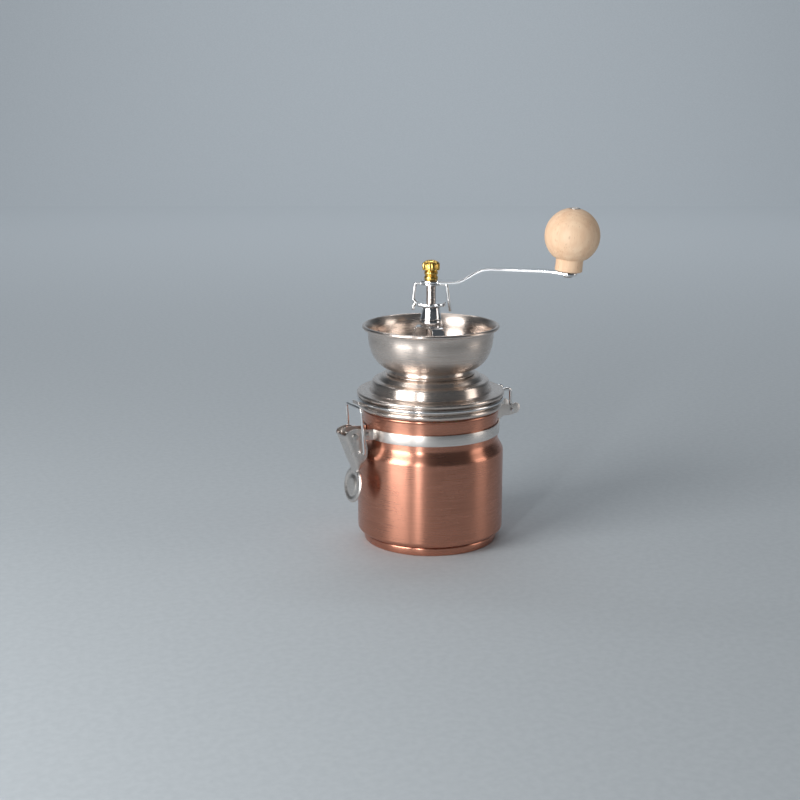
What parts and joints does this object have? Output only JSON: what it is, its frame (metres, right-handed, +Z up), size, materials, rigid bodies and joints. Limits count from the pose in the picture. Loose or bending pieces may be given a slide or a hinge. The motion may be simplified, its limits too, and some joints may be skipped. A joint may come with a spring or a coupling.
{
  "type": "hand crank coffee grinder",
  "caption": "Hand crank coffee grinder: copper-finished clip-top jar, stepped steel lid with open hopper bowl, cranked arm with round wooden knob, brass nut and wire bail clasp.",
  "frame": {"origin": "on the jar's axis at the plane it stands on", "axes": "+Z up along the jar's axis, clasp towards -X, lid hinge towards +X"},
  "size_m": [0.1544, 0.1339, 0.2308],
  "materials": {
    "copper_finish": "copper-coloured finish on stainless steel, finely brushed round the jar",
    "satin_steel": "satin steel, finely brushed round the turned parts",
    "band_steel": "pale brushed steel strip",
    "rivet_steel": "plain steel, slightly dull",
    "shaft_steel": "threaded steel rod",
    "chrome_plate": "bright chrome plate",
    "chrome_wire": "bright plated wire",
    "nut_brass": "polished brass",
    "beech_wood": "bare turned beech with fine upright grain",
    "burr_ceramic": "matt unglazed ceramic",
    "black_plastic": "black moulded plastic",
    "seal_silicone": "translucent white silicone"
  },
  "bodies": {
    "root": {"jar_body": "copper_finish", "base_cap": "copper_finish", "neck_band": "band_steel", "band_rivet": "rivet_steel", "hinge_bracket": "band_steel", "lever_rivet": "rivet_steel"},
    "lever": {"clasp_lever": "band_steel"},
    "bail": {"bail_wire": "chrome_wire"},
    "lid": {"lid_cover": "satin_steel", "lid_base": "satin_steel", "lid_gasket": "seal_silicone", "lid_wire_ring": "chrome_wire", "lid_tongue": "band_steel", "hopper_collar": "satin_steel", "hopper_bowl": "satin_steel", "bearing_bracket": "chrome_plate", "upper_bush": "chrome_plate", "bracket_screw_1": "rivet_steel", "bracket_screw_2": "rivet_steel", "bracket_screw_3": "rivet_steel", "burr_housing": "black_plastic", "shaft_spider": "black_plastic", "lower_bush": "nut_brass", "ring_burr": "burr_ceramic", "burr_clamp_ring": "black_plastic"},
    "crank": {"drive_shaft": "shaft_steel", "thrust_spring": "rivet_steel", "cone_burr": "burr_ceramic", "burr_washer": "rivet_steel", "burr_nut": "rivet_steel", "adjuster_disc": "chrome_plate", "lock_clip": "chrome_wire", "crank_arm": "chrome_plate", "crown_nut": "nut_brass", "knob_axle": "rivet_steel", "knob_washer": "rivet_steel"},
    "knob": {"knob_ball": "beech_wood"}
  },
  "joints": [
    {"name": "clasp_turn", "type": "hinge", "parent": "root", "child": "lever", "pos_m": [-0.0611, 0, 0.08], "axis": [0, 1, 0], "range_deg": [0, 110]},
    {"name": "bail_swing", "type": "hinge", "parent": "lever", "child": "bail", "pos_m": [-0.0563, 0, 0.0678], "axis": [0, -1, 0], "range_deg": [0, 132]},
    {"name": "lid_open", "type": "hinge", "parent": "root", "child": "lid", "pos_m": [0.0611, 0, 0.085], "axis": [0, 1, 0], "range_deg": [0, 95]},
    {"name": "crank_turn", "type": "hinge", "parent": "lid", "child": "crank", "pos_m": [0, 0, 0.17775], "axis": [0, 0, 1], "continuous": true},
    {"name": "knob_spin", "type": "hinge", "parent": "crank", "child": "knob", "pos_m": [0.06647, -0.06419, 0.18812], "axis": [0.0627, -0.0605, 0.9962], "continuous": true}
  ],
  "couplings": [
    {"joint": "bail_swing", "follows": "clasp_turn", "ratio": 1.2}
  ]
}
